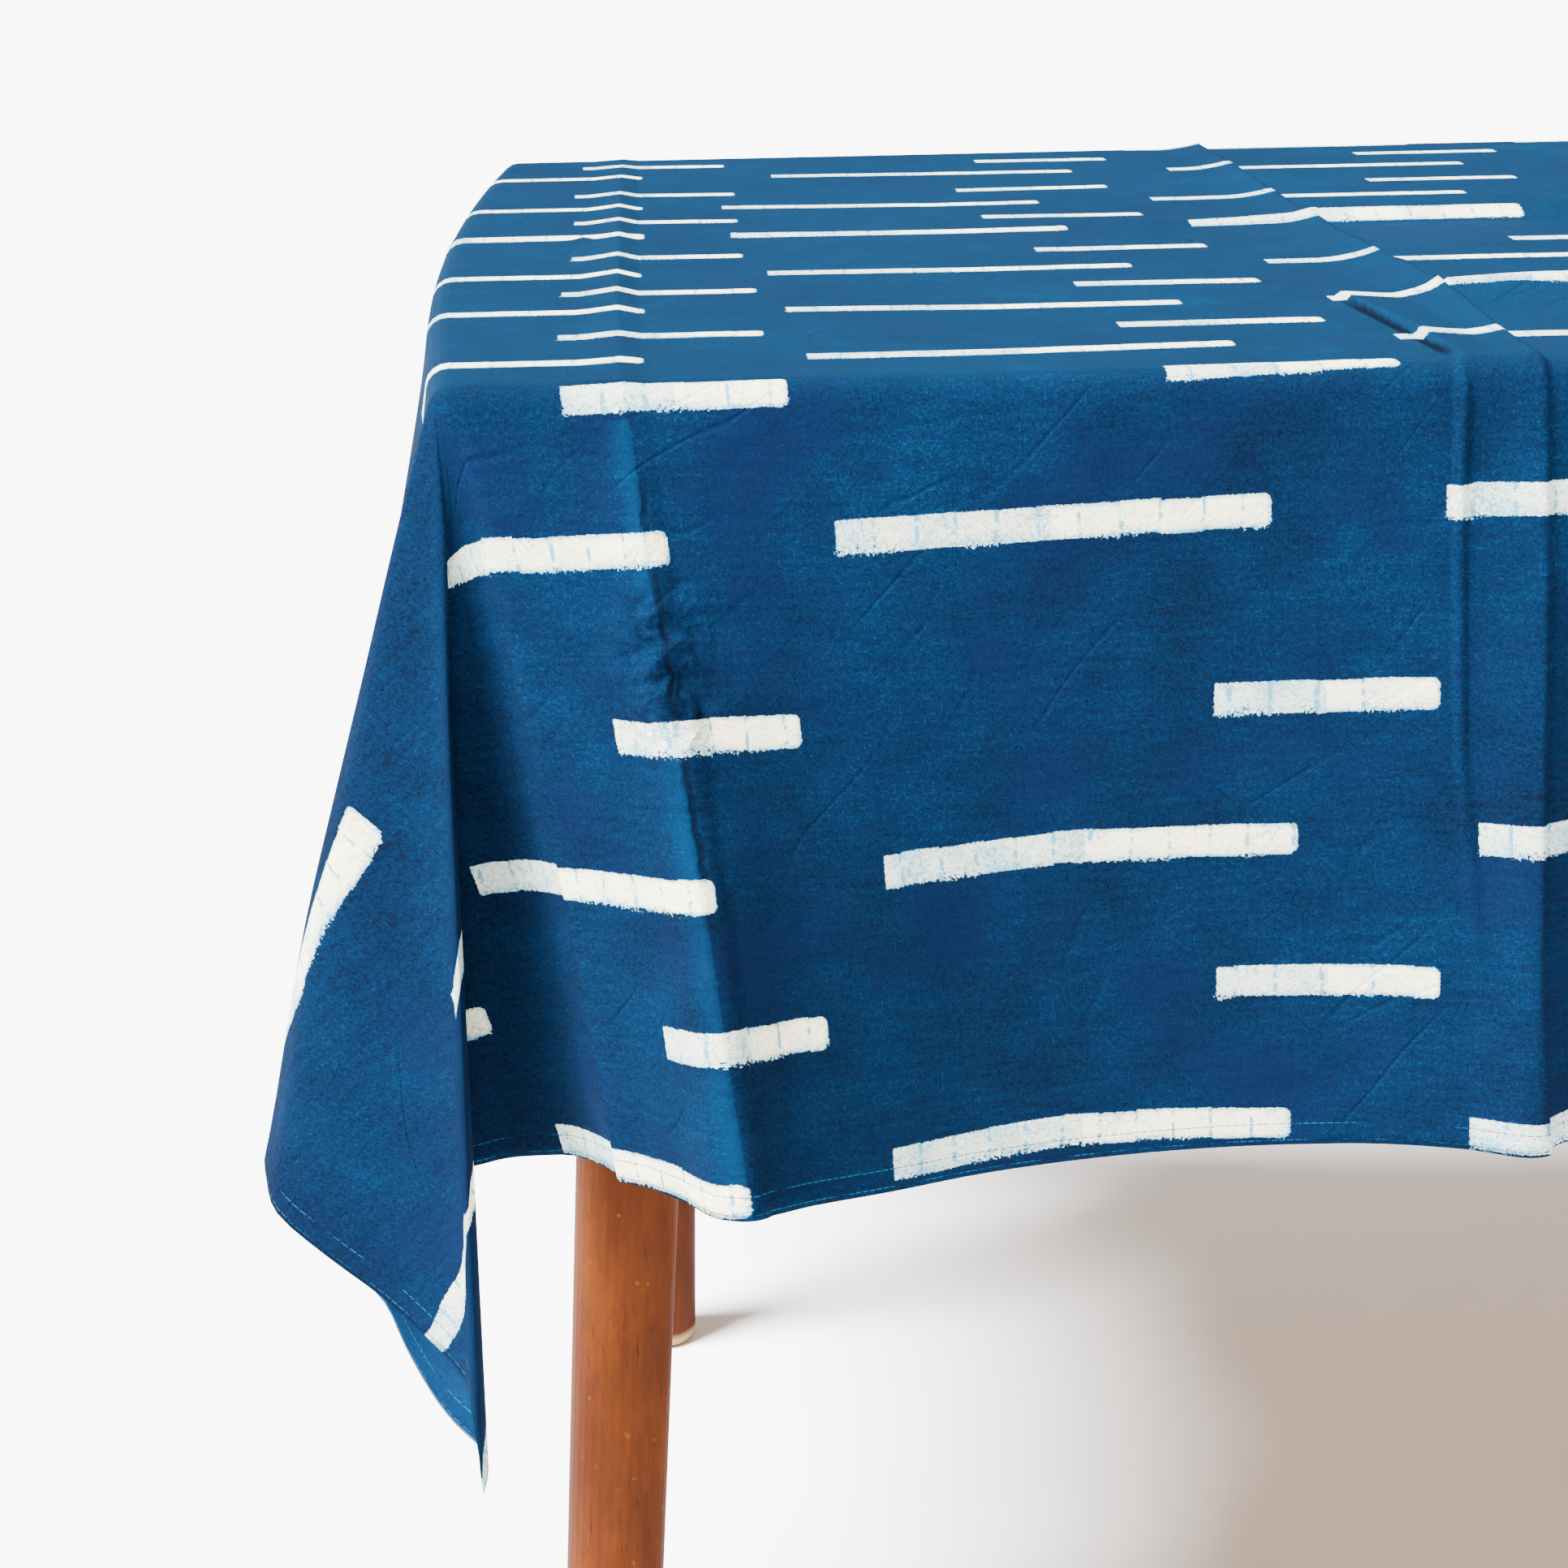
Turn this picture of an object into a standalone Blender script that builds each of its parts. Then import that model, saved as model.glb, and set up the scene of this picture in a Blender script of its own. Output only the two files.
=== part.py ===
"""A block-printed cotton tablecloth draped over a plain wooden table.

Metres, +Z up. The origin is on the floor under the middle of the table, +X along
the table's long side, and -Y out of its front. The cloth is one sheet. It lies
flat on the top, rolls over the table's edges and hangs down as straight lines,
its falls, whose leans are given in short tables. At each corner the spare square
of cloth hangs from the table's corner as a fan of falls, folded into a deep flap.
"""
import math

import bmesh
import bpy
import numpy as np
from mathutils import Matrix, Vector

# The cloth.
CLOTH_WIDTH = 1.545         # along Y, laid flat; the length is 2.301 along X
CLOTH_THICKNESS = 0.0016
DRAPED_LENGTH = 1.609       # across the table, drop to drop, along X at a corner
DRAPED_WIDTH = 0.853        # the same along Y
END_BOW = 0.0165            # how far the table's short ends bow out beyond that
END_BOW_BLEND = 0.055       # of the cloth's grid, inward from an end
EDGE_ROLL = 0.010           # radius at which the cloth turns over the table's edges

# Creases left from storing the cloth folded, which stand up on the top.
PRESS_FIRST = 0.0775        # from the left drop, at a corner, to the first crease
PRESS_PITCH = 0.3835        # from one crease to the next
PRESS_COUNT = 4
PRESS_HEIGHT = 0.004
PRESS_HALF_WIDTH = 0.011
PRESS_FADE = 0.10           # how far down the drop a crease still shows
MID_CREASE_HEIGHT = 0.002   # the lengthwise crease, along the middle of the top

# The table.
TABLE_HEIGHT = 0.754
TOP_THICKNESS = 0.030
TOP_SETBACK = 0.005         # from the cloth's drop to the top's edge
TOP_EDGE_RADIUS = 0.010
TOP_EDGE_SEGMENTS = 3
TOP_BOW_CUTS = 7            # along a bowed end
REST_GAP = 0.0003           # between pieces that touch
LEG_FOOT_RADIUS = 0.0239
LEG_TOP_RADIUS = 0.0275
LEG_SIDES = 32
FOOT_CHAMFER = 0.006
FOOT_CHAMFER_SEGMENTS = 2
SHARP_ANGLE = math.radians(40)

# Where each leg stands, inward from the corner of the drop:
#  name, side (x, y), foot inset x, y, top inset x, y
LEGS = (
    ("leg_front_left", (-1, -1), 0.0495, 0.162, 0.092, 0.198),
    ("leg_front_right", (1, -1), 0.0495, 0.162, 0.092, 0.198),
    ("leg_back_left", (-1, 1), 0.079, 0.162, 0.092, 0.198),
    ("leg_back_right", (1, 1), 0.079, 0.162, 0.092, 0.198),
)

# Leans are level components of a fall's direction, which has length 1:
# "across" is towards the middle of the corner's second side, "back" towards the
# middle of its first. For the front-left corner those are +X and +Y.
#
# One corner's fan, from its first side (the left one) round to its second (the
# front), with the flap's deep folds and, near the table's corner, opened out:
#  degrees of the fan, across, back, across near the corner, back near the corner
FAN = (
    (0.0, -0.040, 0.330, -0.150, 0.200),    # valley behind the flap
    (3.2, -0.002, 0.294, -0.165, 0.192),
    (5.7, 0.010, 0.254, -0.185, 0.183),
    (8.8, -0.035, 0.228, -0.215, 0.173),
    (13.0, -0.105, 0.224, -0.235, 0.163),
    (17.1, -0.175, 0.221, -0.250, 0.153),
    (20.6, -0.234, 0.207, -0.260, 0.143),
    (22.8, -0.253, 0.174, -0.262, 0.130),   # outer edge of the flap
    (25.1, -0.246, 0.138, -0.255, 0.108),
    (27.4, -0.228, 0.106, -0.235, 0.082),
    (30.1, -0.169, 0.080, -0.175, 0.048),
    (33.1, -0.099, 0.056, -0.105, 0.020),
    (36.7, -0.034, 0.024, -0.045, -0.008),
    (38.0, -0.011, -0.002, -0.022, -0.018),
    (40.0, -0.007, -0.013, -0.010, -0.023),
    (42.3, -0.003, -0.017, 0.002, -0.026),
    (45.0, 0.000, -0.013, 0.015, -0.025),   # plumb edge, down the cloth's diagonal
    (45.7, 0.003, 0.002, 0.027, -0.018),
    (46.4, 0.000, 0.021, 0.034, -0.008),
    (47.3, -0.028, 0.049, 0.038, 0.000),
    (48.6, -0.052, 0.072, 0.040, 0.010),
    (51.1, -0.080, 0.096, 0.048, 0.022),
    (53.8, -0.105, 0.121, 0.054, 0.034),
    (57.8, -0.160, 0.136, 0.060, 0.046),
    (60.1, -0.192, 0.150, 0.064, 0.056),    # hidden fold behind the flap
    (61.5, -0.192, 0.172, 0.067, 0.064),
    (64.2, -0.155, 0.180, 0.065, 0.068),
    (68.1, -0.090, 0.172, 0.070, 0.072),
    (72.8, -0.014, 0.152, 0.078, 0.074),
    (74.9, 0.022, 0.150, 0.087, 0.071),     # deep valley
    (76.9, 0.053, 0.138, 0.097, 0.066),
    (81.3, 0.114, 0.096, 0.124, 0.046),
    (87.9, 0.164, -0.005, 0.155, 0.000),
    (90.0, 0.166, -0.040, 0.166, -0.040),
)
FAN_FORMS_FROM = 0.030      # length of fall at which the flap's folds start to form
FAN_FORMS_OVER = 0.100
UPPER_LEAN = 1.07           # leans above the last stretch, which hangs more plumb
PLUMB_FROM = 0.60           # share of the fall at which that stretch starts

# The first side's falls, counted back from the fan:
#  distance from the fan, across, back
BEFORE_FAN = (
    (0.420, -0.020, 0.010),
    (0.370, 0.020, 0.035),
    (0.320, 0.045, 0.065),
    (0.270, 0.020, 0.095),
    (0.230, -0.040, 0.125),
    (0.190, -0.100, 0.160),
    (0.150, -0.155, 0.190),
    (0.110, -0.190, 0.220),
    (0.080, -0.190, 0.240),
    (0.050, -0.150, 0.270),
    (0.025, -0.095, 0.302),
)

# The second side's falls, counted on from the fan: the ridge and what follows.
#  distance from the fan, across, back
AFTER_FAN = (
    (0.0125, 0.168, -0.071),
    (0.0405, 0.137, -0.135),
    (0.0635, 0.100, -0.195),
    (0.0785, 0.095, -0.213),           # ridge
    (0.088, 0.093, -0.201),
    (0.1175, 0.065, -0.139),
    (0.159, 0.049, -0.079),
    (0.201, 0.035, -0.022),
    (0.240, 0.029, 0.013),
)

# The gentle waves between, for each side from the front one round to the left:
#  distance from the side's first corner, across, back
SIDE_WAVES = (
    (
        (0.278, 0.026, 0.035),
        (0.316, 0.024, 0.047),
        (0.352, 0.024, 0.049),
        (0.388, 0.024, 0.042),
        (0.424, 0.020, 0.016),
        (0.454, 0.013, -0.018),        # pressed crease
        (0.482, -0.005, 0.031),
        (0.540, -0.010, 0.045),
        (0.640, 0.000, 0.010),
        (0.740, 0.004, -0.045),
        (0.840, 0.000, 0.020),
        (0.960, -0.004, 0.045),
        (1.080, 0.000, -0.035),
    ),
    (
        (0.310, 0.010, 0.035),
    ),
    (
        (0.330, 0.012, 0.040),
        (0.450, 0.000, -0.030),
        (0.560, 0.004, 0.035),
        (0.690, 0.000, -0.020),
        (0.800, 0.000, 0.042),
        (0.930, -0.004, -0.040),
        (1.070, 0.000, 0.030),
    ),
    (
        (0.320, 0.010, 0.010),
    ),
)

# How finely the sheet is cut into faces.
FINE_STEP, COARSE_STEP = 0.036, 0.075   # between lines near a corner and mid-side
CORNER_REACH = 0.20                     # of the fine stretch
ROLL_STEPS = 3
FALL_SHARES = (0.08, 0.17, 0.30, 0.52, 0.76, 1.0)   # of the straight fall below the roll

CLOTH_MID_Z = TABLE_HEIGHT + REST_GAP + CLOTH_THICKNESS / 2
DROP = (CLOTH_WIDTH - DRAPED_WIDTH) / 2
FALL = DROP + EDGE_ROLL                 # cloth from the start of the roll to the hem
HALF_X = DRAPED_LENGTH / 2 - EDGE_ROLL  # where the roll starts, from the middle
HALF_Y = DRAPED_WIDTH / 2 - EDGE_ROLL
FAN_LENGTH = FALL * math.pi / 2         # a fan's share of the way round
CORNERS = ((-HALF_X, -HALF_Y), (HALF_X, -HALF_Y), (HALF_X, HALF_Y), (-HALF_X, HALF_Y))
SIDES = (2 * HALF_X, 2 * HALF_Y, 2 * HALF_X, 2 * HALF_Y)


def start_scene():
    """Empty the scene and return a new collection for the object."""
    for old in list(bpy.data.objects):
        bpy.data.objects.remove(old)
    collection = bpy.data.collections.new("draped_tablecloth")
    bpy.context.scene.collection.children.link(collection)
    return collection


def material(name, colour, roughness):
    made = bpy.data.materials.new(name)
    made.use_nodes = True
    shader = made.node_tree.nodes["Principled BSDF"]
    shader.inputs["Base Color"].default_value = (*colour, 1.0)
    shader.inputs["Roughness"].default_value = roughness
    shader.inputs["Metallic"].default_value = 0.0
    return made


def fall_direction(across, back):
    """The downward unit vector with these level components."""
    return np.array((across, back, -math.sqrt(1 - across * across - back * back)))


def quarter_turned(across, back, turns):
    """A lean turned about +Z by quarter turns, from the front-left corner's frame."""
    for _ in range(turns):
        across, back = -back, across
    return across, back


def lean_table():
    """Rows for the whole way round: station, lean (x, y), lean near the corner (x, y).

    It starts at the front-left corner's fan and runs anticlockwise from above.
    """
    rows = []
    start = 0.0
    for corner, side in enumerate(SIDES):
        for degrees, across, back, near_across, near_back in FAN:
            full = quarter_turned(across, back, corner)
            near = quarter_turned(near_across, near_back, corner)
            rows.append((start + FAN_LENGTH * degrees / 90, *full, *near))
        side_start = start + FAN_LENGTH
        for distance, across, back in AFTER_FAN + SIDE_WAVES[corner]:
            lean = quarter_turned(across, back, corner)
            rows.append((side_start + distance, *lean, *lean))
        start = side_start + side
        for distance, across, back in BEFORE_FAN:
            lean = quarter_turned(across, back, corner + 1)
            rows.append((start - distance, *lean, *lean))
    return np.array(rows), start


LEANS, WAY_ROUND = lean_table()


def lean_at(station):
    """The four leans at a station, read from a smooth closed curve through LEANS."""
    station %= WAY_ROUND
    count = len(LEANS)
    after = int(np.searchsorted(LEANS[:, 0], station, side="right"))

    def knot(index):
        row = LEANS[index % count]
        return row[0] + WAY_ROUND * (index // count), row[1:]

    (s0, v0), (s1, v1), (s2, v2), (s3, v3) = (knot(after + k) for k in (-2, -1, 0, 1))
    slope_1 = (v2 - v0) / (s2 - s0)
    slope_2 = (v3 - v1) / (s3 - s1)
    span = s2 - s1
    t = (station - s1) / span
    return (
        (2 * t**3 - 3 * t**2 + 1) * v1
        + (t**3 - 2 * t**2 + t) * span * slope_1
        + (3 * t**2 - 2 * t**3) * v2
        + (t**3 - t**2) * span * slope_2
    )


def smooth_step(x):
    x = min(1.0, max(0.0, x))
    return x * x * (3 - 2 * x)


def end_bow(y):
    """How far the table's end stands out at this place across it."""
    return END_BOW * (1 - (y / HALF_Y) ** 2)


def press_crease(x):
    """Height of the pressed creases at this place along the table."""
    along = x + DRAPED_LENGTH / 2
    height = 0.0
    for crease in range(PRESS_COUNT):
        offset = abs(along - PRESS_FIRST - crease * PRESS_PITCH)
        height = max(height, PRESS_HEIGHT * (1 - offset / PRESS_HALF_WIDTH))
    return height


def border_place(station):
    """Where a fall leaves the top: its corner or side place, and the way out."""
    start = 0.0
    for corner, side in enumerate(SIDES):
        if station <= start + FAN_LENGTH:
            angle = corner * math.pi / 2 + math.pi / 2 * (station - start) / FAN_LENGTH
            place = CORNERS[corner]
            break
        if station <= start + FAN_LENGTH + side:
            angle = (corner + 1) * math.pi / 2
            distance = station - start - FAN_LENGTH
            along = quarter_turned(1.0, 0.0, corner)
            x, y = CORNERS[corner]
            place = (x + distance * along[0], y + distance * along[1])
            if corner % 2:
                place = (place[0] + math.copysign(end_bow(place[1]), x), place[1])
            break
        start += FAN_LENGTH + side
    outward = np.array((-math.cos(angle), -math.sin(angle), 0.0))
    return np.array((*place, CLOTH_MID_Z)), outward


def cloth_reach(place, outward):
    """Length of a fall from the start of the roll to the hem."""
    bowed_out = abs(place[0]) - HALF_X if abs(outward[0]) > 0.999 else 0.0
    return (FALL - bowed_out) / max(abs(outward[0]), abs(outward[1]))


def fall_point(station, share):
    """A point of a fall: share 0 to 1 runs over the roll, 1 to 2 down to the hem."""
    place, outward = border_place(station)
    straight = cloth_reach(place, outward) - EDGE_ROLL * math.pi / 2
    below = max(0.0, share - 1.0) * straight
    formed = smooth_step((below - FAN_FORMS_FROM) / FAN_FORMS_OVER)
    plumb = smooth_step((share - 1.0 - PLUMB_FROM) / (1.0 - PLUMB_FROM))
    leans = lean_at(station)
    lean = (1 - formed) * leans[2:] + formed * leans[:2]
    lean *= UPPER_LEAN + plumb * (1 - UPPER_LEAN)
    fall = fall_direction(*lean)
    level_part = float(outward @ fall)
    turn = math.acos(level_part)
    down = (fall - level_part * outward) / math.sin(turn)
    angle = turn * min(share, 1.0)
    ridge = press_crease(place[0]) if abs(outward[1]) > 0.999 else 0.0
    ridge *= 1 - smooth_step(below / PRESS_FADE)
    surface_out = math.cos(angle) * -down + math.sin(angle) * outward
    return (
        place
        + EDGE_ROLL * (math.sin(angle) * outward + (1 - math.cos(angle)) * down)
        + below * fall
        + ridge * surface_out
    )


def top_point(x, y):
    """A point of the cloth on the table, from a place on the straight-ended grid."""
    blend = max(0.0, 1 - (HALF_X - abs(x)) / END_BOW_BLEND)
    x += math.copysign(blend * end_bow(y), x)
    mid_crease = MID_CREASE_HEIGHT * max(0.0, 1 - abs(y) / PRESS_HALF_WIDTH)
    return np.array((x, y, CLOTH_MID_Z + max(press_crease(x), mid_crease)))


def lines_along(half, creases):
    """Places of the grid's lines between -half and half, closer near the ends."""
    fine = round(CORNER_REACH / FINE_STEP)
    coarse = round(2 * (half - CORNER_REACH) / COARSE_STEP)
    places = list(np.linspace(-half, -half + CORNER_REACH, fine, endpoint=False))
    places += list(np.linspace(-half + CORNER_REACH, half - CORNER_REACH, coarse, endpoint=False))
    places += list(np.linspace(half - CORNER_REACH, half, fine + 1))
    clear = 1.6 * PRESS_HALF_WIDTH
    places = [p for p in places if abs(p) == half or all(abs(p - c) > clear for c in creases)]
    for crease in creases:
        places += [crease - PRESS_HALF_WIDTH, crease, crease + PRESS_HALF_WIDTH]
    return sorted(places)


def border_stations(columns, rows):
    """Stations all the way round, each with the grid place that its fall leaves."""
    last_column, last_row = len(columns) - 1, len(rows) - 1
    sides = (
        [(x + HALF_X, (i, 0)) for i, x in enumerate(columns)],
        [(y + HALF_Y, (last_column, j)) for j, y in enumerate(rows)],
        [(HALF_X - x, (i, last_row)) for i, x in reversed(list(enumerate(columns)))],
        [(HALF_Y - y, (0, j)) for j, y in reversed(list(enumerate(rows)))],
    )
    stations = []
    start = 0.0
    for side, length in zip(sides, SIDES):
        stations += [(start + FAN_LENGTH * row[0] / 90, side[0][1]) for row in FAN[:-1]]
        start += FAN_LENGTH
        stations += [(start + distance, place) for distance, place in side[:-1]]
        stations.append((start + length - 1e-9, side[-1][1]))
        start += length
    # A side's last fall is the next fan's first one.
    return [entry for index, entry in enumerate(stations) if not is_repeat(stations, index)]


def is_repeat(stations, index):
    station, place = stations[index]
    following, next_place = stations[(index + 1) % len(stations)]
    return place == next_place and (following - station) % WAY_ROUND < 1e-6


def make_tablecloth(collection, finish):
    """The draped sheet: a grid on the top, its falls round the border, thickened."""
    creases = [
        PRESS_FIRST + k * PRESS_PITCH - DRAPED_LENGTH / 2 for k in range(PRESS_COUNT)
    ]
    columns = lines_along(HALF_X, creases)
    rows = lines_along(HALF_Y, [0.0])
    shares = [(k + 1) / ROLL_STEPS for k in range(ROLL_STEPS)]
    shares += [1 + share for share in FALL_SHARES]

    sheet = bmesh.new()
    top = {
        (i, j): sheet.verts.new(top_point(x, y))
        for i, x in enumerate(columns)
        for j, y in enumerate(rows)
    }
    for i in range(len(columns) - 1):
        for j in range(len(rows) - 1):
            sheet.faces.new((top[i, j], top[i + 1, j], top[i + 1, j + 1], top[i, j + 1]))

    falls = [
        [top[place]] + [sheet.verts.new(fall_point(station, share)) for share in shares]
        for station, place in border_stations(columns, rows)
    ]
    for fall, following in zip(falls, falls[1:] + falls[:1]):
        for k in range(len(shares)):
            corners = (fall[k], fall[k + 1], following[k + 1], following[k])
            sheet.faces.new(dict.fromkeys(corners))

    mesh = bpy.data.meshes.new("tablecloth")
    sheet.to_mesh(mesh)
    sheet.free()
    cloth = bpy.data.objects.new("tablecloth", mesh)
    collection.objects.link(cloth)
    mesh.materials.append(finish)
    mesh.shade_smooth()
    thickness = cloth.modifiers.new("thickness", "SOLIDIFY")
    thickness.thickness = CLOTH_THICKNESS
    thickness.offset = 0.0
    return cloth


def make_table_top(collection, finish):
    """A plain board whose short ends bow out, with all its edges rounded."""
    length = DRAPED_LENGTH - 2 * TOP_SETBACK
    width = DRAPED_WIDTH - 2 * TOP_SETBACK
    board = bmesh.new()
    size = Matrix.Diagonal((length, width, TOP_THICKNESS, 1.0))
    bmesh.ops.create_cube(board, size=1.0, matrix=size)
    across = [e for e in board.edges if abs(e.verts[0].co.y - e.verts[1].co.y) > width / 2]
    bmesh.ops.subdivide_edges(board, edges=across, cuts=TOP_BOW_CUTS, use_grid_fill=True)
    for corner in board.verts:
        bow = END_BOW * (1 - (2 * corner.co.y / width) ** 2)
        corner.co.x += math.copysign(bow, corner.co.x)
    mesh = bpy.data.meshes.new("table_top")
    board.to_mesh(mesh)
    board.free()
    mesh.materials.append(finish)
    mesh.shade_smooth()
    mesh.set_sharp_from_angle(angle=SHARP_ANGLE)
    top = bpy.data.objects.new("table_top", mesh)
    collection.objects.link(top)
    top.location = (0.0, 0.0, TABLE_HEIGHT - TOP_THICKNESS / 2)
    edges = top.modifiers.new("rounded_edges", "BEVEL")
    edges.width = TOP_EDGE_RADIUS
    edges.segments = TOP_EDGE_SEGMENTS
    edges.limit_method = "ANGLE"
    edges.angle_limit = SHARP_ANGLE
    return top


def make_leg(collection, finish, name, side, foot, top):
    """A round tapered leg, leaning out, cut level on the floor and under the top."""
    height = TABLE_HEIGHT - TOP_THICKNESS - REST_GAP
    outline = bmesh.new()
    bmesh.ops.create_cone(
        outline,
        cap_ends=True,
        segments=LEG_SIDES,
        radius1=LEG_FOOT_RADIUS,
        radius2=LEG_TOP_RADIUS,
        depth=height,
        matrix=Matrix.Translation((0.0, 0.0, height / 2)),
    )
    lean_x, lean_y = (-side[k] * (top[k] - foot[k]) / height for k in range(2))
    lean = Matrix(((1, 0, lean_x, 0), (0, 1, lean_y, 0), (0, 0, 1, 0), (0, 0, 0, 1)))
    bmesh.ops.transform(outline, matrix=lean, verts=outline.verts)
    foot_edge = [e for e in outline.edges if all(v.co.z < FOOT_CHAMFER for v in e.verts)]
    bmesh.ops.bevel(
        outline,
        geom=foot_edge,
        offset=FOOT_CHAMFER,
        segments=FOOT_CHAMFER_SEGMENTS,
        profile=0.5,
        affect="EDGES",
    )
    mesh = bpy.data.meshes.new(name)
    outline.to_mesh(mesh)
    outline.free()
    leg = bpy.data.objects.new(name, mesh)
    collection.objects.link(leg)
    mesh.materials.append(finish)
    mesh.shade_smooth()
    mesh.set_sharp_from_angle(angle=SHARP_ANGLE)
    corner = Vector((side[0] * DRAPED_LENGTH / 2, side[1] * DRAPED_WIDTH / 2, 0.0))
    leg.location = corner - Vector((side[0] * foot[0], side[1] * foot[1], 0.0))
    return leg


def main():
    collection = start_scene()
    indigo_cotton = material("indigo_cotton", (0.012, 0.090, 0.210), 0.85)
    plain_board = material("plain_board", (0.480, 0.330, 0.190), 0.60)
    stained_wood = material("stained_wood", (0.420, 0.130, 0.030), 0.45)
    make_tablecloth(collection, indigo_cotton)
    make_table_top(collection, plain_board)
    for name, side, foot_x, foot_y, top_x, top_y in LEGS:
        make_leg(collection, stained_wood, name, side, (foot_x, foot_y), (top_x, top_y))


main()
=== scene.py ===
import math

import bpy
import numpy as np
from mathutils import Matrix, Vector


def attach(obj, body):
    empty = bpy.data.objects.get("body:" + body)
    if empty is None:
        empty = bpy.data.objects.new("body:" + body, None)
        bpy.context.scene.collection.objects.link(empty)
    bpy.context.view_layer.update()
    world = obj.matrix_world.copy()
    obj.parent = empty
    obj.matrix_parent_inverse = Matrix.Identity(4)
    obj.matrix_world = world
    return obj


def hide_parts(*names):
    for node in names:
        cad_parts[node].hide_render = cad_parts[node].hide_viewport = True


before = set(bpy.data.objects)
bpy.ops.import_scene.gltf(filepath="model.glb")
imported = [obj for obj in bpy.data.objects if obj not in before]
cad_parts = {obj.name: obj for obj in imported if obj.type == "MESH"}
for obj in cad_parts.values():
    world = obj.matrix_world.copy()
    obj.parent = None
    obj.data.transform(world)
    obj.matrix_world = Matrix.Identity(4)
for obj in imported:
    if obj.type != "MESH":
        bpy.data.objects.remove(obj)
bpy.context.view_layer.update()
bpy.ops.object.select_all(action="DESELECT")

# The tablecloth. One rectangle of plain-woven cotton with a narrow turned hem on all
# its sides, dyed with indigo around block-printed broken stripes. It lies on the top,
# rolls over its edges and falls straight; each corner's spare square folds to a flap.

CLOTH_THICKNESS = 0.0008
CLOTH_MID_Z = 0.7551
DRAPED_LENGTH, DRAPED_WIDTH = 1.609, 0.853
END_BOW, END_BOW_BLEND = 0.0165, 0.055
EDGE_ROLL = 0.010
DROP = 0.346
FALL = DROP + EDGE_ROLL
HALF_X = DRAPED_LENGTH / 2 - EDGE_ROLL
HALF_Y = DRAPED_WIDTH / 2 - EDGE_ROLL
FAN_LENGTH = FALL * math.pi / 2
CORNERS = ((-HALF_X, -HALF_Y), (HALF_X, -HALF_Y), (HALF_X, HALF_Y), (-HALF_X, HALF_Y))
SIDES = (2 * HALF_X, 2 * HALF_Y, 2 * HALF_X, 2 * HALF_Y)
FORMS_FROM, FORMS_OVER = 0.030, 0.100
UPPER_LEAN, PLUMB_FROM = 1.07, 0.60

# A corner's fan: degrees round it, then how the cloth leans as it falls, across and
# back, low down and then near the table's corner.
FAN = (
    (0.0, -0.040, 0.330, -0.150, 0.200),    # valley behind the flap
    (3.2, -0.002, 0.294, -0.165, 0.192),
    (5.7, 0.010, 0.254, -0.185, 0.183),
    (8.8, -0.035, 0.228, -0.215, 0.173),
    (13.0, -0.105, 0.224, -0.235, 0.163),
    (17.1, -0.175, 0.221, -0.250, 0.153),
    (20.6, -0.234, 0.207, -0.260, 0.143),
    (22.8, -0.253, 0.174, -0.262, 0.130),   # outer edge of the flap
    (25.1, -0.246, 0.138, -0.255, 0.108),
    (27.4, -0.228, 0.106, -0.235, 0.082),
    (30.1, -0.169, 0.080, -0.175, 0.048),
    (33.1, -0.099, 0.056, -0.105, 0.020),
    (36.7, -0.034, 0.024, -0.045, -0.008),
    (38.0, -0.011, -0.002, -0.022, -0.018),
    (40.0, -0.007, -0.013, -0.010, -0.023),
    (42.3, -0.003, -0.017, 0.002, -0.026),
    (45.0, 0.000, -0.013, 0.015, -0.025),   # plumb edge, down the cloth's diagonal
    (45.7, 0.003, 0.002, 0.027, -0.018),
    (46.4, 0.000, 0.021, 0.034, -0.008),
    (47.3, -0.028, 0.049, 0.038, 0.000),
    (48.6, -0.052, 0.072, 0.040, 0.010),
    (51.1, -0.080, 0.096, 0.048, 0.022),
    (53.8, -0.105, 0.121, 0.054, 0.034),
    (57.8, -0.160, 0.136, 0.060, 0.046),
    (60.1, -0.192, 0.150, 0.064, 0.056),    # hidden fold behind the flap
    (61.5, -0.192, 0.172, 0.067, 0.064),
    (64.2, -0.155, 0.180, 0.065, 0.068),
    (68.1, -0.090, 0.172, 0.070, 0.072),
    (72.8, -0.014, 0.152, 0.078, 0.074),
    (74.9, 0.022, 0.150, 0.087, 0.071),     # deep valley
    (76.9, 0.053, 0.138, 0.097, 0.066),
    (81.3, 0.114, 0.096, 0.124, 0.046),
    (87.9, 0.164, -0.005, 0.155, 0.000),
    (90.0, 0.166, -0.040, 0.166, -0.040),
)
# The falls of a side before its fan, after its fan, and between: distance, across, back.
BEFORE_FAN = (
    (0.420, -0.020, 0.010),
    (0.370, 0.020, 0.035),
    (0.320, 0.045, 0.065),
    (0.270, 0.020, 0.095),
    (0.230, -0.040, 0.125),
    (0.190, -0.100, 0.160),
    (0.150, -0.155, 0.190),
    (0.110, -0.190, 0.220),
    (0.080, -0.190, 0.240),
    (0.050, -0.150, 0.270),
    (0.025, -0.095, 0.302),
)
AFTER_FAN = (
    (0.0125, 0.168, -0.071),
    (0.0405, 0.137, -0.135),
    (0.0635, 0.100, -0.195),
    (0.0785, 0.095, -0.213),                # ridge
    (0.088, 0.093, -0.201),
    (0.1175, 0.065, -0.139),
    (0.159, 0.049, -0.079),
    (0.201, 0.035, -0.022),
    (0.240, 0.029, 0.013),
)
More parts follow.
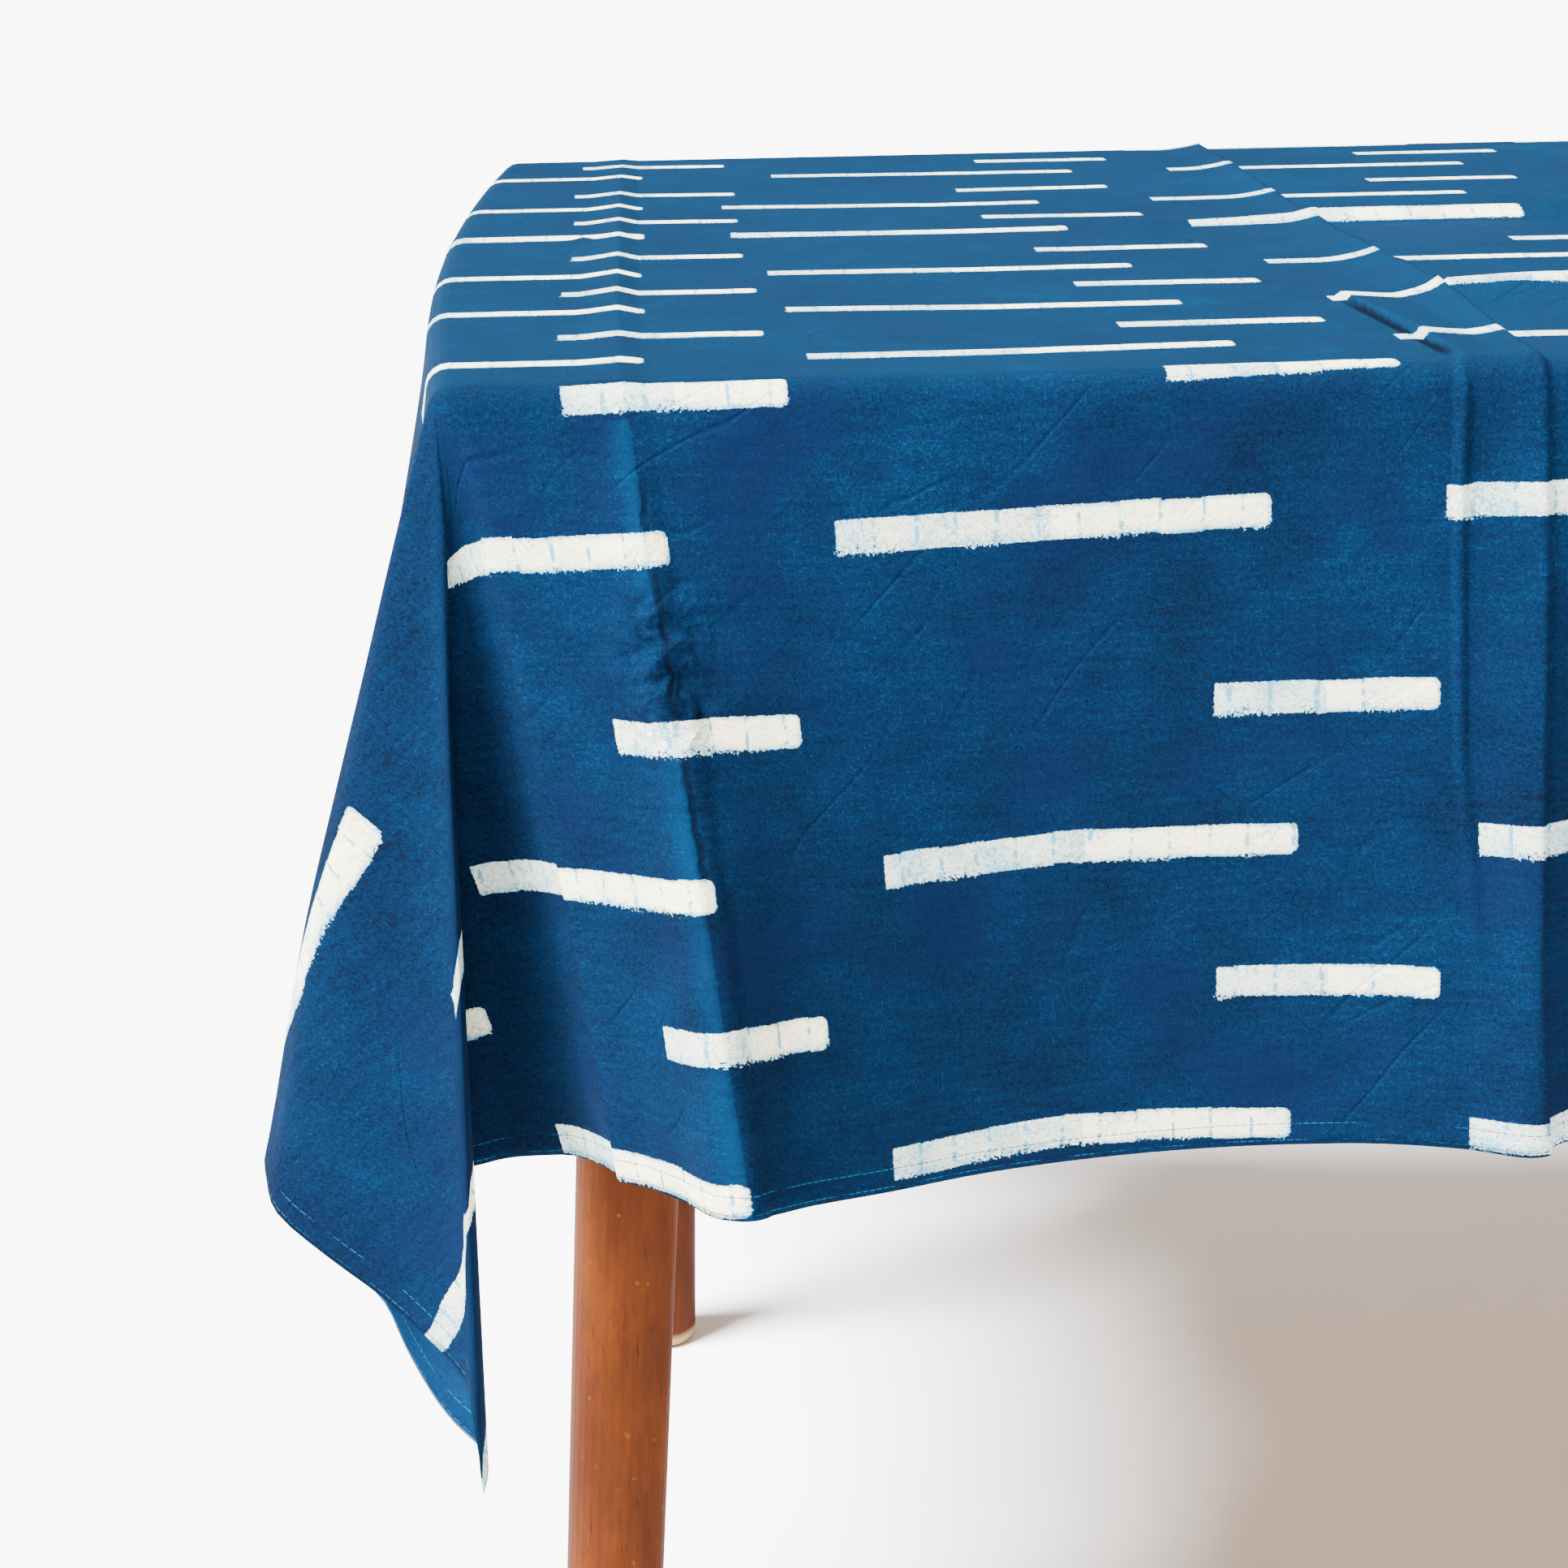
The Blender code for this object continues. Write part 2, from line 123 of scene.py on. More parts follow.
SIDE_WAVES = (
    (
        (0.278, 0.026, 0.035),
        (0.316, 0.024, 0.047),
        (0.352, 0.024, 0.049),
        (0.388, 0.024, 0.042),
        (0.424, 0.020, 0.016),
        (0.454, 0.013, -0.018),
        (0.482, -0.005, 0.031),
        (0.540, -0.010, 0.045),
        (0.640, 0.000, 0.010),
        (0.740, 0.004, -0.045),
        (0.840, 0.000, 0.020),
        (0.960, -0.004, 0.045),
        (1.080, 0.000, -0.035),
    ),
    (
        (0.310, 0.010, 0.035),
    ),
    (
        (0.330, 0.012, 0.040),
        (0.450, 0.000, -0.030),
        (0.560, 0.004, 0.035),
        (0.690, 0.000, -0.020),
        (0.800, 0.000, 0.042),
        (0.930, -0.004, -0.040),
        (1.070, 0.000, 0.030),
    ),
    (
        (0.320, 0.010, 0.010),
    ),
)


def quarter_turned(across, back, turns):
    for _ in range(turns):
        across, back = -back, across
    return across, back


def lean_table():
    """Station round the border, lean low down (x, y) and near the corner (x, y)."""
    rows, start = [], 0.0
    for corner, side in enumerate(SIDES):
        for degrees, across, back, near_across, near_back in FAN:
            full = quarter_turned(across, back, corner)
            near = quarter_turned(near_across, near_back, corner)
            rows.append((start + FAN_LENGTH * degrees / 90, *full, *near))
        for distance, across, back in AFTER_FAN + SIDE_WAVES[corner]:
            lean = quarter_turned(across, back, corner)
            rows.append((start + FAN_LENGTH + distance, *lean, *lean))
        start += FAN_LENGTH + side
        for distance, across, back in BEFORE_FAN:
            lean = quarter_turned(across, back, corner + 1)
            rows.append((start - distance, *lean, *lean))
    return np.array(rows), start


LEANS, WAY_ROUND = lean_table()


def leans_at(stations):
    """The four leans at each station, on a smooth closed curve through LEANS."""
    stations = stations % WAY_ROUND
    count = len(LEANS)
    after = np.searchsorted(LEANS[:, 0], stations, side="right")
    knots = [after + k for k in (-2, -1, 0, 1)]
    s0, s1, s2, s3 = (LEANS[k % count, 0] + WAY_ROUND * (k // count) for k in knots)
    v0, v1, v2, v3 = (LEANS[k % count, 1:] for k in knots)
    span = (s2 - s1)[:, None]
    slope_1 = (v2 - v0) / (s2 - s0)[:, None]
    slope_2 = (v3 - v1) / (s3 - s1)[:, None]
    t = (stations - s1)[:, None] / span
    return (
        (2 * t**3 - 3 * t**2 + 1) * v1
        + (t**3 - 2 * t**2 + t) * span * slope_1
        + (3 * t**2 - 2 * t**3) * v2
        + (t**3 - t**2) * span * slope_2
    )


def smooth_step(x):
    x = np.clip(x, 0.0, 1.0)
    return x * x * (3 - 2 * x)


def end_bow(y):
    return END_BOW * (1 - (y / HALF_Y) ** 2)


def graded(places, steps, low, high):
    """Places from low to high whose spacing follows a table of places and steps."""
    fine = np.linspace(low, high, 4001)
    passed = np.concatenate(([0.0], np.cumsum(np.diff(fine) / np.interp(fine[1:], places, steps))))
    count = round(passed[-1])
    return np.interp(np.linspace(0.0, passed[-1], count + 1), passed, fine)


# Distances from the front-left corner, and how far apart the sheet's lines are there.
COLUMN_STEPS = (
    (0.000, 0.0060), (0.050, 0.0050), (0.060, 0.0024), (0.066, 0.0013), (0.082, 0.0013),
    (0.088, 0.0024), (0.100, 0.0034), (0.140, 0.0100), (0.300, 0.0140), (0.395, 0.0070),
    (0.408, 0.0012), (0.432, 0.0012), (0.441, 0.0026), (0.455, 0.0014), (0.466, 0.0016),
    (0.480, 0.0070), (0.520, 0.0140), (0.700, 0.0260), (1.600, 0.0240),
)
ROW_STEPS = (
    (0.000, 0.0060), (0.060, 0.0090), (0.120, 0.0090), (0.150, 0.0070), (0.200, 0.0070),
    (0.250, 0.0130), (0.420, 0.0130), (0.440, 0.0038), (0.480, 0.0038), (0.500, 0.0150),
    (0.840, 0.0170),
)
# Distances down a side's fall, in flat cloth from where the roll starts.
FALL_LINES = (
    0.0039, 0.0079, 0.0118, 0.0157, 0.023, 0.031, 0.040, 0.049, 0.058, 0.067, 0.076, 0.085,
    0.091, 0.096, 0.0995, 0.103, 0.1065, 0.110, 0.1135, 0.117, 0.1205, 0.124, 0.1275, 0.131,
    0.1345, 0.138, 0.1415, 0.145, 0.150, 0.158, 0.168, 0.181, 0.196, 0.212, 0.229, 0.247,
    0.266, 0.285, 0.305, 0.325, 0.3450, 0.3464, 0.3510, 0.3560,
)
FAN_CUTS = (2, 1, 0, 0)                     # of each row of FAN, at each corner

columns = graded(*zip(*COLUMN_STEPS), 0.0, 2 * HALF_X) - HALF_X
rows = graded(*zip(*ROW_STEPS), 0.0, 2 * HALF_Y) - HALF_Y


def border():
    """Every fall: its station, its vertex on the top's grid, its place and way out."""
    last_column, last_row = len(columns) - 1, len(rows) - 1
    sides = (
        [(x + HALF_X, (i, 0)) for i, x in enumerate(columns)],
        [(y + HALF_Y, (last_column, j)) for j, y in enumerate(rows)],
        [(HALF_X - x, (i, last_row)) for i, x in enumerate(columns)][::-1],
        [(HALF_Y - y, (0, j)) for j, y in enumerate(rows)][::-1],
    )
    stations, corners, places, angles = [], [], [], []
    start = 0.0
    for corner, (side, length) in enumerate(zip(sides, SIDES)):
        degrees = np.array([row[0] for row in FAN])
        cuts = FAN_CUTS[corner] + 1
        at = np.interp(np.arange((len(FAN) - 1) * cuts) / cuts, np.arange(len(FAN)), degrees)
        for turn in at:
            stations.append(start + FAN_LENGTH * turn / 90)
            corners.append(side[0][1])
            places.append(CORNERS[corner])
            angles.append(math.radians(90 * corner + turn))
        start += FAN_LENGTH
        along = quarter_turned(1.0, 0.0, corner)
        x, y = CORNERS[corner]
        for distance, vertex in side[:-1]:
            place = [x + distance * along[0], y + distance * along[1]]
            if corner % 2:
                place[0] += math.copysign(end_bow(place[1]), x)
            stations.append(start + distance)
            corners.append(vertex)
            places.append(place)
            angles.append(math.radians(90 * (corner + 1)))
        start += length
    return np.array(stations), corners, np.array(places), np.array(angles)


def falls():
    """Points of every fall, and their places on the flat cloth: (fall, line, axis)."""
    stations, corners, places, angles = border()
    outward = np.stack([-np.cos(angles), -np.sin(angles), np.zeros(len(angles))], 1)
    widest = np.abs(outward[:, :2]).max(1)
    bowed_out = np.where(np.abs(outward[:, 0]) > 0.999, np.abs(places[:, 0]) - HALF_X, 0.0)
    reach = (FALL - bowed_out) / widest
    roll = EDGE_ROLL * math.pi / 2
    lines = np.array(FALL_LINES)
    below_roll = np.clip(lines - roll, 0.0, None) / (FALL - roll)
    below = below_roll[None] * (reach - roll)[:, None]
    share = np.minimum(lines / roll, 1.0)[None]
    formed = smooth_step((below - FORMS_FROM) / FORMS_OVER)
    plumb = smooth_step((below_roll - PLUMB_FROM) / (1 - PLUMB_FROM))[None]
    leans = leans_at(stations)
    lean = leans[:, None, 2:] + formed[:, :, None] * (leans[:, None, :2] - leans[:, None, 2:])
    lean = lean * (UPPER_LEAN + plumb * (1 - UPPER_LEAN))[:, :, None]
    fall = np.concatenate([lean, -np.sqrt(1 - (lean**2).sum(2, keepdims=True))], 2)
    level = (fall * outward[:, None]).sum(2)
    turn = np.arccos(level)
    down = (fall - level[:, :, None] * outward[:, None]) / np.sin(turn)[:, :, None]
    angle = (turn * share)[:, :, None]
    start = np.column_stack([places, np.full(len(places), CLOTH_MID_Z)])
    points = start[:, None] + below[:, :, None] * fall
    points += EDGE_ROLL * (np.sin(angle) * outward[:, None] + (1 - np.cos(angle)) * down)
    out = share * roll + below
    flat = places[:, None] + out[:, :, None] * outward[:, None, :2]
    return corners, points, flat


def drape():
    """The sheet's mesh: its grid on the top, then all its falls, with flat places."""
    width, depth = len(columns), len(rows)
    x, y = np.meshgrid(columns, rows, indexing="ij")
    blend = np.clip(1 - (HALF_X - np.abs(x)) / END_BOW_BLEND, 0.0, None)
    x = x + np.sign(x) * blend * end_bow(y)
    top = np.stack([x, y, np.full_like(x, CLOTH_MID_Z)], 2).reshape(-1, 3)
    corners, points, flat = falls()
    count, lines = points.shape[:2]
    grid = np.arange(width * depth).reshape(width, depth)
    quads = [
        (grid[i, j], grid[i + 1, j], grid[i + 1, j + 1], grid[i, j + 1])
        for i in range(width - 1)
        for j in range(depth - 1)
    ]
    below = width * depth + np.arange(count * lines).reshape(count, lines)
    for k in range(count):
        after = (k + 1) % count
        upper = (grid[corners[k]], grid[corners[after]])
        for line in range(lines):
            lower = (below[k, line], below[after, line])
            quads.append(tuple(dict.fromkeys((upper[0], lower[0], lower[1], upper[1]))))
            upper = lower
    vertices = np.concatenate([top, points.reshape(-1, 3)])
    flat_places = np.concatenate([top[:, :2], flat.reshape(-1, 2)])
    mesh = bpy.data.meshes.new("draped_cotton")
    mesh.from_pydata(vertices.tolist(), [], [[int(v) for v in quad] for quad in quads])
    mesh.update()
    return mesh, flat_places


cloth_mesh, flat_places = drape()
# From here on a flat place is measured from the front-left corner of the draped top.
MIDDLE_ACROSS, MIDDLE_BACK = DRAPED_LENGTH / 2 - 0.003, DRAPED_WIDTH / 2
across = flat_places[:, 0] + MIDDLE_ACROSS
back = flat_places[:, 1] + MIDDLE_BACK

# Creases, each down a line of flat places with the height there, then how wide it is
# before and after the line, and how soon it sinks. A line that runs to the front has
# the cloth's right-hand side after it; one that runs to the right has the back after it.
CREASES = (
    (                                       # pressed in storage, left, with its crumple
        (
            (0.0743, 0.86, 0.0010), (0.0733, 0.60, 0.0021), (0.0735, 0.27, 0.0026),
            (0.0755, 0.10, 0.0014), (0.0765, 0.03, 0.0009), (0.0765, 0.00, 0.0014),
            (0.0770, -0.05, 0.0048), (0.0797, -0.0875, 0.0064), (0.0685, -0.1010, 0.0070),
            (0.0820, -0.1065, 0.0078), (0.0745, -0.1130, 0.0086), (0.0725, -0.1220, 0.0086),
            (0.0815, -0.1270, 0.0084), (0.0750, -0.1345, 0.0080), (0.0840, -0.1420, 0.0076),
            (0.0813, -0.161, 0.0068), (0.0827, -0.225, 0.0070), (0.0850, -0.290, 0.0072),
            (0.0880, -0.345, 0.0068),
        ),
        0.018, 0.0105, 1.05,
    ),
    (                                       # pressed in storage, right
        (
            (0.4473, 0.86, 0.0040), (0.4487, 0.72, 0.0040), (0.4485, 0.59, 0.0040),
            (0.4517, 0.42, 0.0044), (0.4541, 0.33, 0.0056), (0.4560, 0.23, 0.0080),
            (0.4590, 0.157, 0.0060), (0.4583, 0.085, 0.0036), (0.4576, 0.00, 0.0034),
            (0.4584, -0.026, 0.0044), (0.4602, -0.08, 0.0046), (0.4614, -0.187, 0.0046),
            (0.4620, -0.260, 0.0046), (0.4646, -0.2985, 0.0046), (0.4701, -0.345, 0.0044),
        ),
        0.030, 0.0042, 2.0,
    ),
    (                                       # pressed in storage, the two further right
        ((0.842, 0.86, 0.0035), (0.842, -0.345, 0.0025)),
        0.022, 0.010, 1.6,
    ),
    (
        ((1.225, 0.86, 0.0035), (1.225, -0.345, 0.0025)),
        0.022, 0.010, 1.6,
    ),
    (                                       # pressed across the middle
        (
            (-0.30, 0.470, 0.0006), (0.044, 0.468, 0.0012), (0.10, 0.470, 0.0012),
            (0.20, 0.472, 0.0006), (0.34, 0.472, 0.0010), (0.40, 0.472, 0.0026),
            (0.44, 0.472, 0.0042), (0.455, 0.472, 0.0070), (0.70, 0.472, 0.0066),
            (0.90, 0.472, 0.0030), (1.90, 0.472, 0.0030),
        ),
        0.019, 0.040, 1.15,
    ),
    (                                       # a short peak where two creases meet
        ((0.046, 0.452, 0.0), (0.0535, 0.4505, 0.0034), (0.062, 0.452, 0.0)),
        0.005, 0.007, 1.0,
    ),
    (                                       # swell right of the right-hand crease
        (
            (0.452, 0.189, 0.0), (0.462, 0.189, 0.0085), (0.49, 0.190, 0.0100),
            (0.54, 0.196, 0.0100), (0.64, 0.20, 0.0),
        ),
        0.034, 0.075, 1.25,
    ),
    (                                       # pleat that runs over the edge as a tuck
        (
            (0.4100, 0.220, 0.0), (0.4116, 0.203, 0.0022), (0.4161, 0.147, 0.0030),
            (0.4207, 0.101, 0.0034), (0.4234, 0.087, 0.0034), (0.4253, 0.056, 0.0030),
            (0.4263, 0.030, 0.0026), (0.4262, 0.004, 0.0026),
        ),
        0.0018, 0.034, 1.2,
    ),
    (                                       # the tuck itself
        (
            (0.4244, 0.004, 0.0038), (0.4237, -0.026, 0.0048), (0.4236, -0.053, 0.0048),
            (0.4239, -0.081, 0.0047), (0.4247, -0.117, 0.0045), (0.4253, -0.1455, 0.0042),
            (0.4265, -0.171, 0.0033), (0.4283, -0.189, 0.0030), (0.4308, -0.2075, 0.0026),
            (0.4334, -0.230, 0.0020), (0.4359, -0.248, 0.0014), (0.4399, -0.274, 0.0),
        ),
        0.0031, 0.0031, 0.36,
    ),
    (                                       # the hollow the tuck stands in
        (
            (0.4262, 0.012, 0.0), (0.4240, -0.053, -0.0022), (0.426, -0.171, -0.0018),
            (0.434, -0.24, 0.0),
        ),
        0.0110, 0.0080, 1.0,
    ),
    (                                       # groove before the pleat
        (
            (0.4085, 0.205, 0.0), (0.4140, 0.147, -0.0044), (0.4187, 0.101, -0.0046),
            (0.4238, 0.030, -0.001),
        ),
        0.0036, 0.0028, 1.0,
    ),
    (                                       # three short wrinkles from the crumple
        ((0.080, -0.090, 0.0034), (0.094, -0.0860, 0.0024), (0.138, -0.0785, 0.0)),
        0.009, 0.004, 1.2,
    ),
    (
        ((0.098, -0.135, 0.0), (0.116, -0.128, 0.0022), (0.165, -0.125, 0.0)),
        0.006, 0.010, 1.2,
    ),
    (
        ((0.040, -0.118, 0.0), (0.060, -0.119, 0.0030), (0.078, -0.125, 0.0060)),
        0.007, 0.012, 1.1,
    ),
)
LOWER_SHARE = 0.35                          # of the lower crease, where two cross


def crease_height(points, before, after, sinks):
    """How far a crease lifts every flat place."""
    nearest = np.full(len(across), np.inf)
    height, side = np.zeros(len(across)), np.ones(len(across))
    for (x0, y0, high0), (x1, y1, high1) in zip(points, points[1:]):
        dx, dy = x1 - x0, y1 - y0
        along = np.clip(((across - x0) * dx + (back - y0) * dy) / (dx * dx + dy * dy), 0, 1)
        ox, oy = across - x0 - along * dx, back - y0 - along * dy
        gap = np.hypot(ox, oy)
        closer = gap < nearest
        nearest = np.where(closer, gap, nearest)
        height = np.where(closer, high0 + along * (high1 - high0), height)
        side = np.where(closer, dx * oy - dy * ox, side)
    width = np.where(side > 0, after, before)
    return height * np.clip(1 - nearest / width, 0, 1) ** sinks


raised = np.zeros(len(across))
for points, before, after, sinks in CREASES:
    lifted = crease_height(points, before, after, sinks)
    if lifted.min() < 0:
        raised += lifted
    else:
        raised = np.maximum(raised, lifted) + LOWER_SHARE * np.minimum(raised, lifted)
normals = np.empty(len(across) * 3, dtype=np.float32)
cloth_mesh.vertex_normals.foreach_get("vector", normals)
places = np.empty(len(across) * 3, dtype=np.float32)
cloth_mesh.vertices.foreach_get("co", places)
places += normals * np.repeat(raised, 3)
cloth_mesh.vertices.foreach_set("co", places)
cloth_mesh.update()

# The print. Rows of dashes lie 66 mm apart, long and short in turn. The printer sets
# the block by eye, so each row drifts: by how much it lies behind its place at four
# places across the cloth, and how far right its dashes start, by row from the front hem.
ROW_PITCH, DASH_PITCH = 0.066, 0.254
FIRST_ROW = -5
DRIFT_PLACES = (-0.15, 0.07, 0.25, 0.42)
DRIFTS = (
    (-0.008, -0.008, -0.001, -0.008, 0.0110),
    (-0.014, -0.010, -0.002, -0.004, 0.0180),
    (-0.012, -0.012, -0.002, -0.003, 0.0140),
    (-0.002, -0.012, -0.005, -0.004, 0.0175),
    (0.000, 0.000, 0.009, 0.014, 0.0030),
    (-0.002, -0.002, 0.005, 0.015, 0.0010),
    (-0.007, -0.007, -0.004, 0.010, -0.0010),
    (-0.005, -0.005, -0.006, -0.002, -0.0040),
    (0.003, 0.003, -0.010, -0.008, -0.0050),
    (-0.006, -0.006, -0.009, -0.011, -0.0085),
    (-0.012, -0.012, -0.018, -0.013, -0.0100),
    (-0.013, -0.013, -0.018, -0.015, -0.0130),
    (-0.001, -0.001, -0.005, 0.002, -0.0245),
    (0.000, 0.000, -0.010, -0.016, -0.0275),
    (-0.003, -0.003, -0.017, -0.012, -0.0265),
    (-0.006, -0.006, -0.018, -0.010, -0.0296),
    (0.018, 0.018, 0.007, 0.002, 0.0100),
    (0.010, 0.010, 0.004, 0.000, -0.0050),
    (0.004, 0.004, 0.002, -0.014, 0.0020),
    (0.000, -0.004, 0.003, 0.001, 0.0100),
    (0.002, 0.003, -0.002, 0.004, -0.0040),
    (0.000, -0.002, 0.004, 0.000, 0.0030),
    (-0.003, 0.001, 0.002, -0.003, 0.0080),
    (0.000, -0.003, 0.000, 0.002, 0.0000),
)


def left_of(place, over):
    return smooth_step((place - across) / over)


def right_of(place, over):
    return smooth_step((across - place) / over)


def in_row(place, spread, over):
    """1 near a row of dashes at this distance back, and 0 away from it."""
    return smooth_step(spread - abs(back - place) / over)


def print_places():
    """Where every flat place falls on the evenly printed pattern."""
    drifts = np.array(DRIFTS)
    behind = np.stack([np.interp(across, DRIFT_PLACES, row[:4]) for row in drifts])
    numbers = FIRST_ROW + np.arange(len(drifts))
    # round the corner flap the cloth is eased along, which carries the print with it
    flap = np.clip((-0.08 - across) / 0.09, 0, 1) * np.clip(-back / 0.06, 0, 1)
    flap *= np.clip((back + 0.346) / 0.12, 0, 1)
    eased_back = back + flap * (0.022 + 0.26 * np.clip(-0.163 - across, 0, 0.1))
    valley = left_of(0.03, 0.08) * right_of(-0.16, 0.07)
    eased_across = across - 0.042 * valley * smooth_step(-back / 0.12)
    behind_flap = left_of(-0.02, 0.03) * right_of(-0.15, 0.05)
    eased_across -= 0.024 * behind_flap * in_row(-ROW_PITCH, 1.4, 0.03)
    near_tip = left_of(-0.25, 0.03) * smooth_step((-0.20 - back) / 0.03)
    eased_back -= 0.37 * np.clip(across + 0.345, 0, 0.055) * near_tip
    turned_under = in_row(-0.165, 1.5, 0.028) * left_of(-0.12, 0.02)
    eased_back += 0.45 * np.clip(across + 0.194, -0.02, 0.07) * turned_under
    # two rows by the front-left corner that start further right
    eased_across -= 0.076 * left_of(-0.012, 0.02) * in_row(ROW_PITCH, 1.4, 0.03)
    eased_across -= 0.0042 * in_row(0.0, 1.3, 0.03) * (abs(across - 0.10) < 0.08)
    gaps = eased_back - behind - (numbers * ROW_PITCH)[:, None]
    row = np.abs(gaps).argmin(0)
    off_row = np.take_along_axis(gaps, row[None], 0)[0]
    # a row's start shifts in its first gap, and all rows shift at the right-hand crease
    gap_at = np.where(numbers[row] % 2 == 0, 0.160, 0.095)
    started = drifts[row, 4] * np.clip((across - gap_at) / 0.035, 0, 1)
    started += (0.004 - 0.022 * back) * np.clip((across - 0.345) / 0.05, 0, 1)
    return eased_across - started, numbers[row] * ROW_PITCH + off_row


corner_of = np.empty(len(cloth_mesh.loops), dtype=np.int32)
cloth_mesh.loops.foreach_get("vertex_index", corner_of)
for name, places in (("flat_cloth", (across, back)), ("print", print_places())):
    cloth_map = cloth_mesh.uv_layers.new(name=name)
    cloth_map.uv.foreach_set("vector", np.column_stack(places)[corner_of].ravel())

cloth = bpy.data.objects.new("draped_cotton", cloth_mesh)
bpy.context.scene.collection.objects.link(cloth)
cloth_mesh.shade_smooth()


class Wire:
    """A value in a material. Arithmetic on it adds Math nodes."""

    tree = None

    def __init__(self, socket):
        self.socket = socket

    @classmethod
    def node(cls, kind, settings, inputs, output=0):
        """A node of any kind: its settings, then the values or wires of its sockets."""
        made = cls.tree.nodes.new(kind)
        for name, value in settings.items():
            setattr(made, name, value)
        for name, value in inputs.items():
            if isinstance(value, Wire):
                cls.tree.links.new(value.socket, made.inputs[name])
            else:
                made.inputs[name].default_value = value
        return cls(made.outputs[output])

    @classmethod
    def maths(cls, operation, *values):
        return cls.node("ShaderNodeMath", {"operation": operation}, dict(enumerate(values)))

    def __add__(self, other):
        return Wire.maths("ADD", self, other)

    __radd__ = __add__

    def __sub__(self, other):
        return Wire.maths("SUBTRACT", self, other)

    def __rsub__(self, other):
        return Wire.maths("SUBTRACT", other, self)

    def __mul__(self, other):
        return Wire.maths("MULTIPLY", self, other)

    __rmul__ = __mul__

    def __truediv__(self, other):
        return Wire.maths("DIVIDE", self, other)

    def __gt__(self, other):
        return Wire.maths("GREATER_THAN", self, other)

    def __lt__(self, other):
        return Wire.maths("LESS_THAN", self, other)

    def __abs__(self):
        return Wire.maths("ABSOLUTE", self)

    def ramp(self, low, high, bottom=0.0, top=1.0):
        """This value's way from low to high, smoothed and held between bottom and top."""
        return Wire.node(
            "ShaderNodeMapRange",
            {"interpolation_type": "SMOOTHSTEP"},
            {0: self, 1: low, 2: high, 3: bottom, 4: top},
        )


def new_material(name):
    made = bpy.data.materials.new(name)
    made.use_nodes = True
    Wire.tree = made.node_tree
    return made, made.node_tree.nodes["Principled BSDF"]


def mixed(factor, first, second):
    """A colour between two others."""
    inputs = {0: factor, 6: first, 7: second}
    return Wire.node("ShaderNodeMix", {"data_type": "RGBA"}, inputs, output=2)


def mixed_value(factor, first, second):
    """A number between two others."""
    return Wire.node("ShaderNodeMix", {}, {0: factor, 2: first, 3: second})


def noise(place, scale, detail=2.0, rough=0.5):
    inputs = {"Vector": place, "Scale": scale, "Detail": detail, "Roughness": rough}
    return Wire.node("ShaderNodeTexNoise", {}, inputs)


def stretched(place, x, y, z=1.0):
    """A place with its directions scaled, for patterns that run one way."""
    inputs = {0: place, 1: (x, y, z)}
    return Wire.node("ShaderNodeVectorMath", {"operation": "MULTIPLY"}, inputs)


def flat_parts(place):
    """The first two parts of a place."""
    split = Wire.node("ShaderNodeSeparateXYZ", {}, {0: place})
    return split, Wire(split.socket.node.outputs[1])


def linear(red, green, blue):
    """A colour as a viewer names it, 0 to 255, in the linear values that shaders use."""
    return tuple(((c / 255 + 0.055) / 1.055) ** 2.4 for c in (red, green, blue)) + (1.0,)


BLOCK_WIDTH = 0.0173                        # of one strike of the printing block
HALF_SHORT, HALF_LONG, HALF_HEIGHT = 0.0457, 0.0920, 0.0074
MIDDLE_SHORT, MIDDLE_LONG = 0.0937, -0.0050
HALF_CLOTH_ACROSS, HALF_CLOTH_BACK = 2.301 / 2, 1.545 / 2
HEM_FOLD, HEM_EDGE = 0.0102, 0.0022         # its two rows of stitches, from the hem
HALF_STITCH = 0.00175
# painted shade: the colour of the thin dark lines under the pleat and along the left crease
PAINTED_SHADE_COLOUR = (1, 7, 17)


